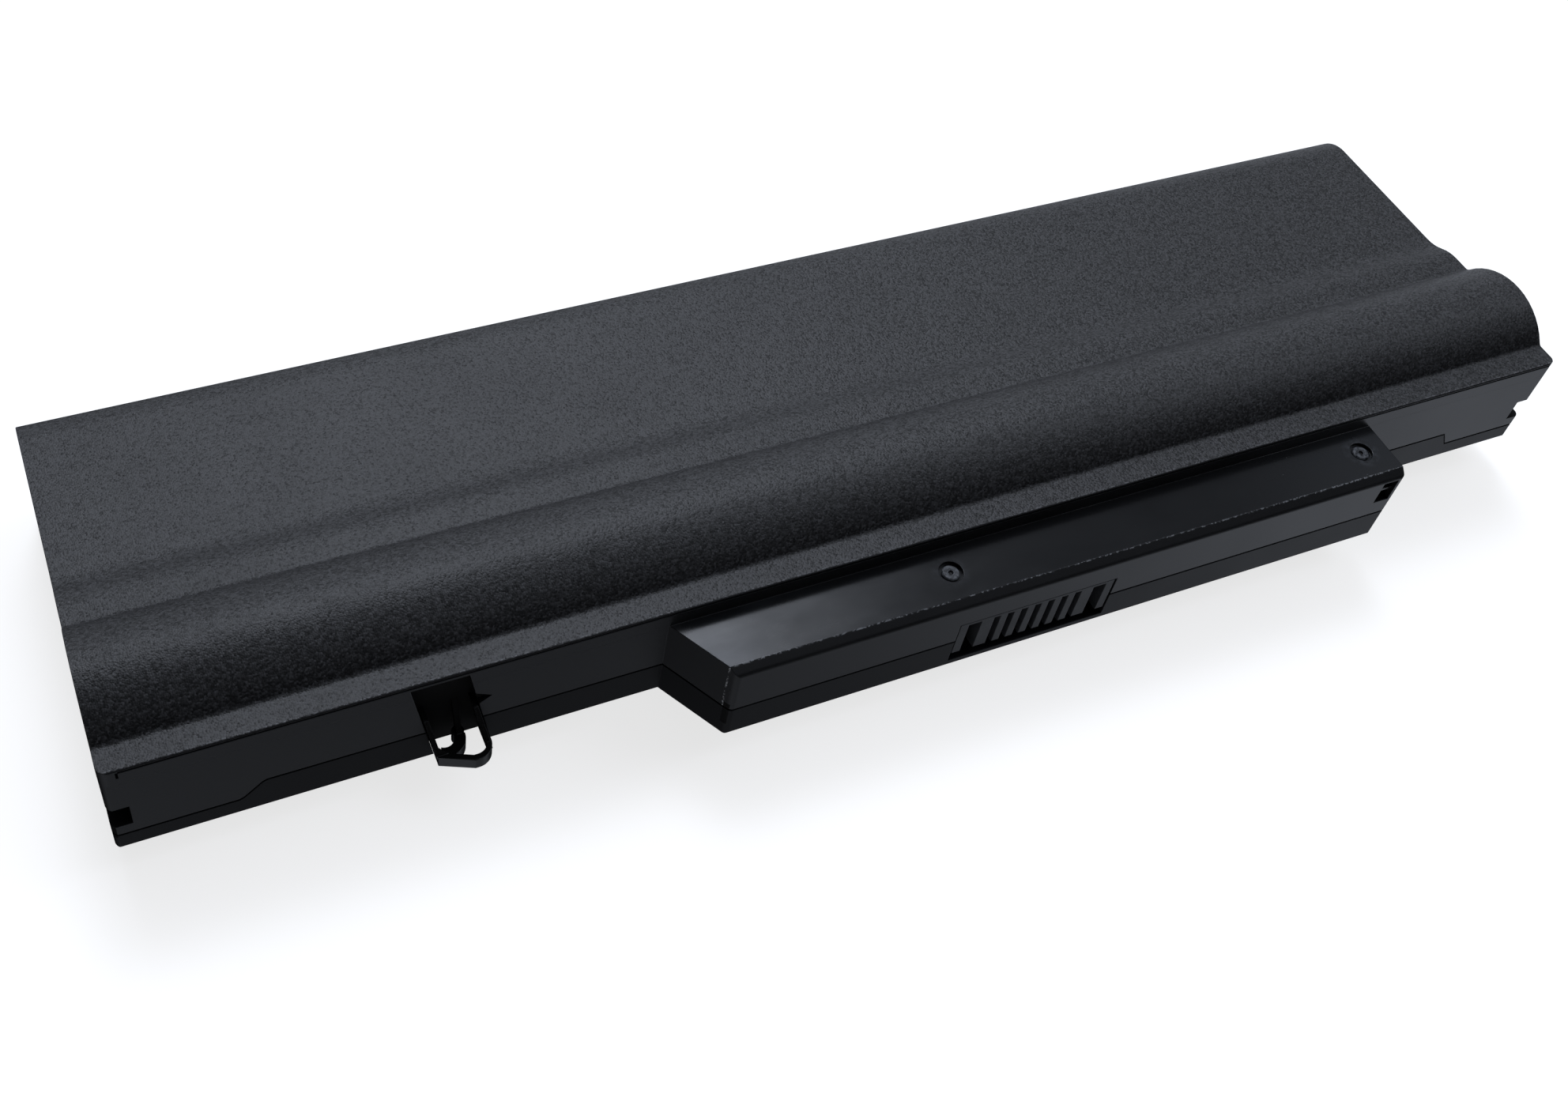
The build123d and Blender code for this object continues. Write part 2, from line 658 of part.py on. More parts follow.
outer = body(0) + tongue(0, WALL)
hollow = body(WALL) + tongue(WALL, 2 * WALL)
shell = outer - hollow
shell += pocket(POCKET_SKIN) & body(0)
shell += guides(WALL) & body(0)
shell += key_slot(WALL) & tongue(0, WALL)
shell -= pocket(0)
shell -= pocket_nick()
shell -= guides(0)
shell -= key_slot(0)
shell += key_bar()
shell -= block(
    (PLUG_X - OPENING_HALF, PLUG_X + OPENING_HALF),
    (-TONGUE_REACH - WALL, -TONGUE_REACH + 2 * WALL),
    (FRONT_FLOOR + PLUG_SILL, OPENING_TOP),
)
shell -= edge_line()
groove = outer - body(SEAM_GROOVE_DEPTH) - tongue(SEAM_GROOVE_DEPTH, WALL)
shell -= groove & seam_band(-SEAM_GROOVE / 2, SEAM_GROOVE / 2)

rib_y = ROW_2[0] + PITCH / 2
upper_shell = (shell & seam_band(0, 2 * LAND)) - stake_holes() + latch_eye()
upper_shell += long_rib(rib_y, PLATE - WALL - RIB_H, PLATE - WALL / 2)
lower_shell = shell & seam_band(-2 * LAND, 0)
lower_shell += long_rib(rib_y, WALL / 2, WALL + RIB_H)
lower_shell += long_rib(ROW_1[0], FRONT_FLOOR + WALL / 2, ROW_1[1] - CELL_R - CELL_FIT)
for x, y in STAKES:
    lower_shell += stake(x, y)
lower_shell += seat_post(TONGUE_LEFT_FRONT + STANDOFF_INSET, STAKE_Y)

lead_targets = (
    TONGUE_LEFT_FRONT + LEAD_1_INSET,
    TONGUE_LEFT_FRONT + LEAD_2_INSET,
    STRIP_X[2] + LEAD_3_RUN,
    TONGUE_RIGHT - LEAD_4_INSET,
)

nodes = {"upper_shell": upper_shell, "lower_shell": lower_shell}
rows = (ROW_1, ROW_2, ROW_3)
for i, row in enumerate(rows):
    for column in range(3):
        nodes[f"cell_{3 * i + column + 1}"] = cell(row, column)
    nodes[f"washers_{i + 1}"] = Compound([washer(row, column) for column in range(3)])
for i in range(4):
    nodes[f"strip_{i + 1}"] = strip(i)
    nodes[f"lead_{i + 1}"] = lead(i, lead_targets[i])
nodes["board"] = board()
nodes["plug"] = plug()
nodes["contacts"] = Compound(contacts())
nodes["gauge_chip"] = chip(TONGUE_LEFT_FRONT + GAUGE_INSET, GAUGE_SIZE)
capacitor_x = [STAKE_1_X - CAPACITOR_INSET - i * CAPACITOR_PITCH for i in range(2)]
nodes["capacitors"] = Compound([chip(x, CAPACITOR_SIZE) for x in capacitor_x])
chip_row = {
    "switch_1": SWITCH_SIZE,
    "switch_2": SWITCH_SIZE,
    "fuse": FUSE_SIZE,
    "sense_resistor": SENSE_SIZE,
}
chip_x = PLUG_X + OPENING_HALF + SWITCH_INSET
for name, size in chip_row.items():
    nodes[name] = chip(chip_x + size[0] / 2, size)
    chip_x += size[0] + COMPONENT_GAP
nodes["end_pad_left"] = end_pad(-1)
nodes["end_pad_right"] = end_pad(1)

os.makedirs("parts", exist_ok=True)
for name, shape in nodes.items():
    export_step(shape, f"parts/{name}.step")
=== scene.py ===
import math

import bpy
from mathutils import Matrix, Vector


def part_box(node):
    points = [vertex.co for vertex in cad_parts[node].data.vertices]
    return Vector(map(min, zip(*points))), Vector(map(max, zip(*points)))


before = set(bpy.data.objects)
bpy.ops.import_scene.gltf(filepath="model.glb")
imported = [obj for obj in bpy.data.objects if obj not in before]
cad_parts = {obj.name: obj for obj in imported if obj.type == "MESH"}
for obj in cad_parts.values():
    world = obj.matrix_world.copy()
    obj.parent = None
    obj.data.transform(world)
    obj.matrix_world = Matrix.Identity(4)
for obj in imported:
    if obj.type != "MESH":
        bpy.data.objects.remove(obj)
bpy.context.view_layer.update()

bl_info = {
    "name": "Laptop battery looks",
    "version": (1, 0, 0),
    "blender": (4, 5, 0),
    "location": "View3D > Sidebar > Battery",
    "description": "Finishes of a long laptop battery pack and its photo stage",
    "category": "Object",
}

MM = 0.001
CELLS = 9
STRIPS = 4
IMAGE_SIZE = (1984, 1417)
SENSOR_WIDTH = 36.0

# Places on the case, from the frame and from the sizes that the case was drawn to
UPPER_LOW, UPPER_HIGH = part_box("upper_shell")
FRONT_FLOOR = 5.05 * MM
FLANGE_Z = 21.85 * MM
TONGUE_REACH = 9.1 * MM
NOSE_Y = UPPER_LOW.y
FRONT_WALL_Y = NOSE_Y + TONGUE_REACH
TONGUE_EDGE_Y = NOSE_Y + 1.1 * MM
TONGUE_LEFT = -34.0 * MM
STAKE_PLACES = ((0.45 * MM, NOSE_Y + 5.3 * MM), (67.8 * MM, NOSE_Y + 5.3 * MM))
STAKE_SINK_R = 1.65 * MM
STAKE_HEAD_R = 1.4 * MM
STAKE_FOOT_Z = 15 * MM
POCKET_X = -64.2 * MM
POCKET_HALF = 3.7 * MM
POCKET_LEAN = 2.9 / 15.8
POCKET_TOP = 20.88 * MM
POCKET_BACK_Y = FRONT_WALL_Y + 3.0 * MM
NICK_Z = FRONT_FLOOR + 9.9 * MM
NICK_REACH = 1.8 * MM
NICK_SLOPE = 1.56
NICK_DEPTH = 0.8 * MM
GUIDE_Z = FRONT_FLOOR + 6.65 * MM
GUIDE_HALF = 1.9 * MM
GUIDE_X = UPPER_HIGH.x - 2.55 * MM
GUIDE_BACK_Y = FRONT_WALL_Y + 18.1 * MM
KEY_X = 70.0 * MM
KEY_HALF = 1.35 * MM
KEY_Z = 15.55 * MM
KEY_HALF_H = 2.15 * MM
KEY_DEPTH = 2 * MM
KEY_BAR_HALF = 0.26 * MM
GROOVE_Z = FRONT_FLOOR + 4.4 * MM
GROOVE_HALF = 2.2 * MM
GROOVE_LIP = 0.17 * MM
GROOVE_DEPTH = 0.9 * MM
MASK_EDGE = 0.02 * MM

# Middle, half width and softness of the painted highlight ring on a stake and of the line in its middle
STAKE_RING = (0.88 * MM, 0.22 * MM, 0.2 * MM)
STAKE_LINE = (0.42 * MM, 0.03 * MM, 0.1 * MM)

# Along the tongue's roof: where it is dullest, where it grows bright and where its smears end
ROOF_DULL_X = 5 * MM
ROOF_BRIGHT = (40 * MM, 72 * MM)
SMEAR_END = (-8 * MM, 12 * MM)
# Radius of the painted sheen at the roof's left corner
CORNER_SHEEN_R = 11 * MM

# Plastic, dust, bare metal and laminate, and the colours of painted highlights and sheen
PLASTIC_IOR = 1.5
FINE_GRAIN = 0.25 * MM
EDGE_GLINT = (0.16, 0.16, 0.17)
SHEEN_TINT = (0.12, 0.13, 0.15)
DUST_AND_EDGE_HIGHLIGHT = (0.26, 0.27, 0.29)
STAKE_HIGHLIGHT = (0.11, 0.115, 0.125)
STEEL = (0.58, 0.57, 0.54)
LAMINATE = (0.34, 0.28, 0.14)
TIN = (0.62, 0.62, 0.6)

# The stage
FLOOR_RADIUS = 1.5
FLOOR_SIDES = 96
LENS_CLIP = 0.01
LIGHT_TINT = (0.92, 0.98, 1.1)
WHITE = (1.0, 1.0, 1.0)

# Soft lights round the part: the way to each, how narrow it is and how bright
SOFT_LIGHTS = (
    ((0.14, 0.52, 0.84), 60, 14.765),
    ((-0.05, 0.64, 0.77), 12, 0.4),
    ((0.1, 0.98, 0.2), 12, 0.815),
    ((0.6, 0.0, 0.8), 24, 2.639),
    ((0.3, -0.6, 0.74), 12, 0.368),
    ((0.0, -0.5, -0.87), 12, 0.175),
    ((0.68, -0.4, -0.62), 24, 0.78),
    ((-0.4, -0.3, -0.87), 16, 0.189),
    ((0.8, 0.58, -0.1), 8, 0.92),
    ((0.35, 0.85, 0.4), 16, 0.468),
)


class Signal:
    """A node output that takes part in Python sums; each operator adds one Math node."""

    def __init__(self, nodes, socket):
        self.nodes = nodes
        self.socket = socket

    def _sum(self, operation, *terms):
        return self.nodes.node("ShaderNodeMath", {"operation": operation}, terms)

    def __add__(self, other):
        return self._sum("ADD", self, other)

    __radd__ = __add__

    def __sub__(self, other):
        return self._sum("SUBTRACT", self, other)

    def __rsub__(self, other):
        return self._sum("SUBTRACT", other, self)

    def __mul__(self, other):
        return self._sum("MULTIPLY", self, other)

    __rmul__ = __mul__

    def __pow__(self, other):
        return self._sum("POWER", self, other)

    def __abs__(self):
        return self._sum("ABSOLUTE", self)


class NodeBench:
    """A node tree whose nodes are added one by one."""

    def __init__(self, tree, place):
        self.tree = tree
        self.place = self.node("ShaderNodeTexCoord", output=place)

    def node(self, kind, settings=None, sockets=(), output=0):
        """Add one node: its settings first, then its sockets, in order or by name or number."""
        node = self.tree.nodes.new(kind)
        for key, value in (settings or {}).items():
            setattr(node, key, value)
        pairs = sockets.items() if isinstance(sockets, dict) else enumerate(sockets)
        for key, value in pairs:
            self.feed(node.inputs[key], value)
        return Signal(self, node.outputs[output])

    def feed(self, socket, value):
        """Link a signal to a socket, or set the socket's own value."""
        if isinstance(value, Signal):
            self.tree.links.new(value.socket, socket)
        elif socket.type == "RGBA":
            socket.default_value = (*value, 1.0)
        else:
            socket.default_value = value

    def split(self, vector):
        """X, Y and Z of a vector as three signals."""
        parts = self.node("ShaderNodeSeparateXYZ", None, [vector])
        return [Signal(self, socket) for socket in parts.socket.node.outputs]

    def step(self, value, low, high):
        """Smooth rise from 0 to 1 as the value goes from low to high."""
        sockets = {"Value": value, "From Min": low, "From Max": high}
        return self.node("ShaderNodeMapRange", {"interpolation_type": "SMOOTHSTEP"}, sockets)

    def fall(self, value, low, high):
        """Smooth fall from 1 to 0 as the value goes from low to high."""
        return 1 - self.step(value, low, high)

    def band(self, value, middle, half, soft):
        """1 within half a width of the middle, falling softly to 0 outside."""
        return self.fall(abs(value - middle), half, half + soft)

    def larger(self, first, second):
        """The larger of two signals."""
        return self.node("ShaderNodeMath", {"operation": "MAXIMUM"}, [first, second])

    def mix(self, share, first, second):
        """Colour between two, by a share from 0 to 1."""
        return self.node("ShaderNodeMix", {"data_type": "RGBA"}, {0: share, 6: first, 7: second}, output=2)

    def tones(self, pattern, low, high, first, second):
        """Colour that goes from the first to the second as a pattern goes from low to high."""
        return self.mix(self.step(pattern, low, high), first, second)

    def away(self, x, y, place):
        """Distance from a place, seen from above."""
        return ((x - place[0]) ** 2 + (y - place[1]) ** 2) ** 0.5


class Finish(NodeBench):
    """A material made of nodes that end in a Principled surface."""

    def __init__(self, name):
        self.material = bpy.data.materials.new(name)
        self.material.use_nodes = True
        super().__init__(self.material.node_tree, "Object")
        self.surface = self.tree.nodes["Principled BSDF"]

    def facing(self):
        """The surface's own direction as X, Y and Z."""
        return self.split(self.node("ShaderNodeNewGeometry", output="Normal"))

    def stretched(self, scale):
        """The place on the piece with each axis scaled, for streaks."""
        return self.node("ShaderNodeMapping", None, {"Vector": self.place, "Scale": scale})

    def noise(self, size, detail=2.0, rough=0.5, place=None):
        """Cloudy noise with patches of about the given size in metres."""
        sockets = {"Vector": place or self.place, "Scale": 1 / size, "Detail": detail, "Roughness": rough}
        return self.node("ShaderNodeTexNoise", None, sockets)

    def pebbles(self, size):
        """Rounded cells of about the given size in metres: 0 at a pebble's middle."""
        sockets = {"Vector": self.place, "Scale": 1 / size, "Smoothness": 0.6}
        return self.node("ShaderNodeTexVoronoi", {"feature": "SMOOTH_F1"}, sockets)

    def grit(self, size):
        """A value of its own, from 0 to 1, in each grain of about the given size in metres."""
        sockets = {"Vector": self.place, "Scale": 1 / size}
        grains = self.node("ShaderNodeTexVoronoi", None, sockets, output="Color")
        return self.split(grains)[0]

    def specks(self, spacing, size):
        """Sparse dots: 1 in a dot of the given size, one in each cell of the given spacing."""
        away = self.node("ShaderNodeTexVoronoi", None, {"Vector": self.place, "Scale": 1 / spacing})
        return self.fall(away, 0.5 * size / spacing, size / spacing)

    def soft_edges(self, radius):
        """Surface direction with the edges rounded by a radius in metres."""
        return self.node("ShaderNodeBevel", {"samples": 6}, {"Radius": radius})

    def bump(self, height, depth, normal=None):
        """Surface relief of the given depth in metres from a height of 0 to 1."""
        sockets = {"Height": height, "Distance": depth}
        if normal is not None:
            sockets["Normal"] = normal
        return self.node("ShaderNodeBump", None, sockets)

    def end(self, **sockets):
        """Set the surface's own sockets and hand over the material."""
        for key, value in sockets.items():
            self.feed(self.surface.inputs[key.replace("_", " ")], value)
        return self.material

    def painted_shade_and_dull(self, share, colour):
        """Turn part of the surface, by a share from 0 to 1, duller and darker: painted shade in the recesses,
        less gloss on grains and roof.
        """
        sockets = {"Base Color": colour, "Roughness": 0.7, "Specular IOR Level": 0.08}
        dull_and_shade = self.node("ShaderNodeBsdfPrincipled", None, sockets)
        skin = Signal(self, self.surface.outputs[0])
        mixed = self.node("ShaderNodeMixShader", None, [share, skin, dull_and_shade])
        self.feed(self.tree.nodes["Material Output"].inputs["Surface"], mixed)
        return self.material


def dress(material, *names):
    """Give CAD nodes a finish in their first material slot."""
    for name in names:
        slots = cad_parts[name].data.materials
        slots.clear()
        slots.append(material)


def shade(colour, share):
    """A colour made darker or lighter by a share."""
    return tuple(share * part for part in colour)


class CaseLook(bpy.types.PropertyGroup):
    """Colours and grain of the moulded case."""

    grain_colour: bpy.props.FloatVectorProperty(
        name="Grained colour",
        description="Colour of the grained plastic",
        subtype="COLOR",
        default=(0.0105, 0.0105, 0.0115),
    )
    smooth_colour: bpy.props.FloatVectorProperty(
        name="Smooth colour",
        description="Colour of the smooth plastic",
        subtype="COLOR",
        default=(0.005, 0.0052, 0.006),
    )
    roof_colour: bpy.props.FloatVectorProperty(
        name="Roof colour",
        description="Colour of the hazy tongue roof",
        subtype="COLOR",
        default=(0.005, 0.0065, 0.0085),
    )
    # Also the colour of the painted shade in the pocket, nick, groove, guides and key slot.
    eye_and_shade_colour: bpy.props.FloatVectorProperty(
        name="Pocket colour",
        description="Colour of the latch pocket and its eye",
        subtype="COLOR",
        default=(0.005, 0.005, 0.0053),
    )
    grain_size: bpy.props.FloatProperty(
        name="Grain size",
        description="Width of one pebble of the grain",
        default=0.24 * MM,
        unit="LENGTH",
    )
    grain_depth: bpy.props.FloatProperty(
        name="Grain depth",
        description="Height of the grain",
        default=0.04 * MM,
        unit="LENGTH",
    )
    edge_round: bpy.props.FloatProperty(
        name="Edge round",
        description="Radius that softens the moulded edges",
        default=0.15 * MM,
        unit="LENGTH",
    )


class InsideLook(bpy.types.PropertyGroup):
    """Colours of the pieces inside the case."""

    sleeve_colour: bpy.props.FloatVectorProperty(
        name="Sleeve colour",
        description="Colour of the cells' shrink sleeves",
        subtype="COLOR",
        default=(0.02, 0.13, 0.19),
    )
    board_colour: bpy.props.FloatVectorProperty(
        name="Board colour",
        description="Colour of the board's solder mask",
        subtype="COLOR",
        default=(0.006, 0.07, 0.03),
    )
    foam_colour: bpy.props.FloatVectorProperty(
        name="Foam colour",
        description="Colour of the end pads",
        subtype="COLOR",
        default=(0.06, 0.06, 0.065),
    )


class StageLook(bpy.types.PropertyGroup):
    """Camera, floor and lights."""

    camera_place: bpy.props.FloatVectorProperty(
        name="Camera place",
        description="Where the lens stands",
        subtype="TRANSLATION",
        default=(-0.10224, -0.13446, 0.19854),
    )
    camera_turn: bpy.props.FloatVectorProperty(
        name="Camera turn",
        description="Turn of the camera about X, Y and Z",
        subtype="EULER",
        default=tuple(math.radians(angle) for angle in (41.218, -6.291, -23.010)),
    )
    focal_px: bpy.props.FloatProperty(
        name="Focal length",
        description="Focal length in image pixels",
        default=2238.4,
    )
    axis_px: bpy.props.FloatVectorProperty(
        name="Lens axis",
        description="Pixel that the lens points at",
        size=2,
        default=(881.3, 551.6),
    )
    floor_colour: bpy.props.FloatVectorProperty(
        name="Floor colour",
        description="Colour of the floor",
        subtype="COLOR",
        default=(0.5, 0.5, 0.5),
    )
    floor_glow: bpy.props.FloatProperty(
        name="Floor glow",
        description="Light that keeps the floor pale in the shade",
        default=0.75,
    )
    room: bpy.props.FloatProperty(
        name="Room light",
        description="Brightness of the rest of the room",
        default=0.0,
    )


def in_pocket(finish, x, y, z):
    """1 inside the leaning outline of the latch pocket and on the eye in front of it."""
    middle = POCKET_X - (z - FRONT_FLOOR) * POCKET_LEAN
    across = finish.band(x - middle, 0.0, POCKET_HALF, 0.04 * MM)
    ahead = finish.fall(y, POCKET_BACK_Y, POCKET_BACK_Y + 0.1 * MM)
    return across * ahead * finish.fall(z, POCKET_TOP, POCKET_TOP + 0.04 * MM)


def shaded_gaps(finish, x, y, z):
    """1 in the latch pocket and in the groove between the two shells, where shade is painted."""
    inside = finish.step(y, FRONT_WALL_Y + 0.16 * MM, FRONT_WALL_Y + 0.3 * MM)
    pocket = in_pocket(finish, x, y, z) * inside
    groove = None
    for face in (FRONT_WALL_Y, NOSE_Y):
        depth = finish.step(y, face + GROOVE_LIP, face + GROOVE_LIP + 0.07 * MM)
        depth *= finish.fall(y, face + GROOVE_DEPTH, face + GROOVE_DEPTH + 0.1 * MM)
        groove = depth if groove is None else finish.larger(groove, depth)
    groove *= finish.band(z, GROOVE_Z, GROOVE_HALF, 0.05 * MM)
    return finish.larger(pocket, groove)


class DressCaseTop(bpy.types.Operator):
    """Grained top, smooth front wall and hazy tongue roof, with painted highlights and sheen and painted
    shade in the recesses
    """

    bl_idname = "battery.dress_case_top"
    bl_label = "Case top"

    def execute(self, context):
        look = context.scene.battery_case
        finish = Finish("case_top")
        x, y, z = finish.split(finish.place)
        up = finish.facing()[2]
        behind = finish.step(y, FRONT_WALL_Y + 0.02 * MM, FRONT_WALL_Y + 0.3 * MM)
        grained = finish.larger(
            behind * finish.step(up, 0.25, 0.6), finish.step(y, FRONT_WALL_Y + 4 * MM, FRONT_WALL_Y + 6 * MM)
        )
        roof = (1 - behind) * finish.step(up, 0.7, 0.9) * finish.step(x, TONGUE_LEFT - 4 * MM, TONGUE_LEFT)
        eye = (1 - behind) * in_pocket(finish, x, y, z)
        # Painted shade: the recesses below are turned dark and dull.
        recess = self.recesses(finish, x, y, z)

        grit = finish.grit(look.grain_size)
        pebbles = finish.pebbles(look.grain_size)
        patches = finish.noise(16 * MM, detail=4.0)
        clouds = finish.noise(5 * MM, detail=5.0, rough=0.6, place=finish.stretched((0.5, 1.0, 1.0)))
        fine = finish.noise(FINE_GRAIN)
        glints = finish.step(grit, 0.55, 0.8)

        grain_colour = finish.mix(grit ** 3, shade(look.grain_colour, 0.4), shade(look.grain_colour, 3.2))
        # Painted highlight: bright grains along the flange's front edge.
        flange_edge = finish.band(y, FRONT_WALL_Y + 0.14 * MM, 0.12 * MM, 0.08 * MM)
        flange_edge *= finish.band(z, FLANGE_Z, 0.14 * MM, 0.08 * MM)
        grain_colour = finish.mix(flange_edge * glints * 0.6, grain_colour, EDGE_GLINT)
        smooth_colour = finish.tones(
            patches, 0.3, 0.8, shade(look.smooth_colour, 0.8), shade(look.smooth_colour, 1.2)
        )
        roof_colour = finish.tones(
            clouds, 0.35, 0.7, shade(look.roof_colour, 0.7), shade(look.roof_colour, 1.5)
        )
        smooth_colour = finish.mix(roof, smooth_colour, roof_colour)
        smooth_colour = self.roof_sheen_and_dust(finish, x, y, roof, glints, smooth_colour)
        colour = finish.mix(grained, smooth_colour, grain_colour)
        colour = finish.mix(eye, colour, tuple(look.eye_and_shade_colour))

        rough_smooth = 0.34 + 0.08 * patches - roof * (0.26 - 0.14 * clouds)
        rough = rough_smooth + grained * (0.04 + 0.14 * grit) - eye * 0.2
        height = grained * (1 - pebbles) + (1 - grained) * (1 - roof) * fine * 0.15
        normal = finish.bump(height, look.grain_depth, finish.soft_edges(look.edge_round))
        finish.end(Base_Color=colour, Roughness=rough, Normal=normal, IOR=PLASTIC_IOR)
        # The dull dark surface paints shade into the recesses, and takes gloss off some grains and the roof.
        gloss_loss = 0.42 + 0.3 * finish.step(x, TONGUE_LEFT, ROOF_DULL_X)
        gloss_loss -= 0.45 * finish.step(x, *ROOF_BRIGHT)
        dull_grains = grained * (1 - grit) ** 2 * 0.65
        dull_and_shade = finish.larger(recess, dull_grains + roof * (gloss_loss + 0.6 * (clouds - 0.5)))
        dress(finish.painted_shade_and_dull(dull_and_shade, tuple(look.eye_and_shade_colour)), "upper_shell")
        return {"FINISHED"}

    def recesses(self, finish, x, y, z):
        """1 where shade is painted: in the pocket with its nick, the groove between the shells, the end
        guides and the key slot.
        """
        nick_across = x - (POCKET_X + POCKET_HALF - (z - FRONT_FLOOR) * POCKET_LEAN)
        nick_reach = abs(z - NICK_Z) * NICK_SLOPE + nick_across
        nick = finish.fall(nick_reach, NICK_REACH, NICK_REACH + 0.1 * MM)
        nick *= finish.step(nick_across, -0.1 * MM, 0.0)
        nick *= finish.fall(y, FRONT_WALL_Y + NICK_DEPTH, FRONT_WALL_Y + NICK_DEPTH + 0.1 * MM)
        guide = finish.step(abs(x), GUIDE_X - MASK_EDGE, GUIDE_X + MASK_EDGE)
        guide *= finish.band(z, GUIDE_Z, GUIDE_HALF, MASK_EDGE)
        guide *= finish.fall(y, GUIDE_BACK_Y, GUIDE_BACK_Y + 0.1 * MM)
        key = finish.band(x, KEY_X, KEY_HALF, MASK_EDGE) * finish.band(z, KEY_Z, KEY_HALF_H, MASK_EDGE)
        key *= finish.step(y, NOSE_Y + 0.1 * MM, NOSE_Y + 0.2 * MM)
        key *= finish.fall(y, NOSE_Y + KEY_DEPTH, NOSE_Y + KEY_DEPTH + 0.2 * MM)
        key *= finish.step(abs(z - KEY_Z), KEY_BAR_HALF, KEY_BAR_HALF + 0.04 * MM)
        gaps = finish.larger(shaded_gaps(finish, x, y, z), nick)
        return finish.larger(gaps, finish.larger(guide, key))

    def roof_sheen_and_dust(self, finish, x, y, roof, glints, colour):
        """Painted sheen round the stakes, at the left corner and in smeared streaks, dust specks and a
        painted highlight along the front edge.
        """
        sheen = None
        # Painted sheen: a light ring round each stake's sink, a light patch at the left corner, light smeared
        # streaks on the left.
        for place in STAKE_PLACES:
            away = finish.away(x, y, place)
            ring = finish.fall(away, STAKE_SINK_R, STAKE_SINK_R + 1.5 * MM)
            ring *= finish.step(away, STAKE_HEAD_R, STAKE_SINK_R)
            sheen = ring if sheen is None else sheen + ring
        sheen = sheen * finish.step(finish.noise(0.9 * MM, detail=3.0), 0.35, 0.75) * 0.35
        corner = finish.away(x, y, (TONGUE_LEFT, TONGUE_EDGE_Y))
        sheen = sheen + finish.fall(corner, 0.0, CORNER_SHEEN_R) ** 2 * 0.5
        smears = finish.noise(3 * MM, detail=4.0, place=finish.stretched((0.25, 1.0, 1.0)))
        sheen = sheen + finish.step(smears, 0.5, 0.8) * finish.fall(x, *SMEAR_END) * 0.15
        colour = finish.mix(roof * sheen, colour, SHEEN_TINT)
        # Painted highlight: a bright line of grains along the roof's front edge, in the same light colour as
        # the dust specks.
        edge_highlight = finish.band(y, TONGUE_EDGE_Y, 0.05 * MM, 0.1 * MM) * glints * 0.7
        specks = finish.specks(3.1 * MM, 0.08 * MM) * 0.5
        return finish.mix(roof * specks + edge_highlight, colour, DUST_AND_EDGE_HIGHLIGHT)


class DressCaseBase(bpy.types.Operator):
    """Smooth satin lower shell with glossy stake heads that carry painted highlight rings, and painted shade
    in its gaps
    """

    bl_idname = "battery.dress_case_base"
    bl_label = "Case base"

    def execute(self, context):
        look = context.scene.battery_case
        finish = Finish("case_base")
        x, y, z = finish.split(finish.place)
        patches = finish.noise(12 * MM, detail=4.0)
        fine = finish.noise(FINE_GRAIN, detail=2.0)
        rear = finish.fall(z, FRONT_FLOOR - 0.4 * MM, FRONT_FLOOR - 0.1 * MM)
        heads, ring_highlight = self.stake_heads(finish, x, y, z)
        colour = finish.tones(
            patches, 0.3, 0.75, shade(look.smooth_colour, 0.75), shade(look.smooth_colour, 1.05)
        )
        # Painted highlight rings on the stake heads.
        colour = finish.mix(ring_highlight, colour, STAKE_HIGHLIGHT)
        rough = 0.34 + 0.1 * patches + rear * 0.1 - heads * 0.14
        pebbles = finish.pebbles(look.grain_size)
        height = fine * 0.15 + rear * (1 - pebbles) * 0.5
        normal = finish.bump(height, look.grain_depth, finish.soft_edges(look.edge_round))
        finish.end(
            Base_Color=colour, Roughness=rough, Normal=normal, IOR=PLASTIC_IOR, Specular_IOR_Level=0.15
        )
        # Painted shade: the latch pocket and the groove between the shells turn dark and dull.
        dress(finish.painted_shade_and_dull(shaded_gaps(finish, x, y, z), tuple(look.eye_and_shade_colour)), "lower_shell")
        return {"FINISHED"}

    def stake_heads(self, finish, x, y, z):
        """1 on the two formed heads, which the forming tool left glossier, and where highlight rings are
        painted on them.
        """
        heads = None
        ring_highlight = None
        for place in STAKE_PLACES:
            away = finish.away(x, y, place)
            head = finish.fall(away, STAKE_HEAD_R, STAKE_HEAD_R + 0.1 * MM)
            ring = finish.band(away, *STAKE_RING) + finish.band(away, *STAKE_LINE)
            heads = head if heads is None else heads + head
            ring_highlight = ring if ring_highlight is None else ring_highlight + ring
        top = finish.step(z, STAKE_FOOT_Z, STAKE_FOOT_Z + MM)
        blotches = finish.step(finish.noise(0.5 * MM, detail=3.0), 0.25, 0.65)
        return heads * top, ring_highlight * top * blotches


class DressPlug(bpy.types.Operator):
    """Satin dark grey comb of the plug"""

    bl_idname = "battery.dress_plug"
    bl_label = "Plug"

    def execute(self, context):
        finish = Finish("plug")
        z = finish.split(finish.place)[2]
        fine = finish.noise(0.2 * MM, detail=3.0)
        cloud = finish.noise(3 * MM, detail=3.0)
        # The comb is lighter towards the top.
        towards_top = finish.step(z, FRONT_FLOOR + 2 * MM, FRONT_FLOOR + 9 * MM)
        colour = finish.tones(cloud, 0.3, 0.7, (0.014, 0.0155, 0.018), (0.024, 0.026, 0.03))
        colour = finish.mix(towards_top * 0.3, colour, (0.034, 0.036, 0.04))
        rough = 0.38 + 0.1 * fine
        normal = finish.bump(fine, 0.004 * MM, finish.soft_edges(0.15 * MM))
        dress(finish.end(Base_Color=colour, Roughness=rough, Normal=normal, Specular_IOR_Level=0.3), "plug")
        return {"FINISHED"}


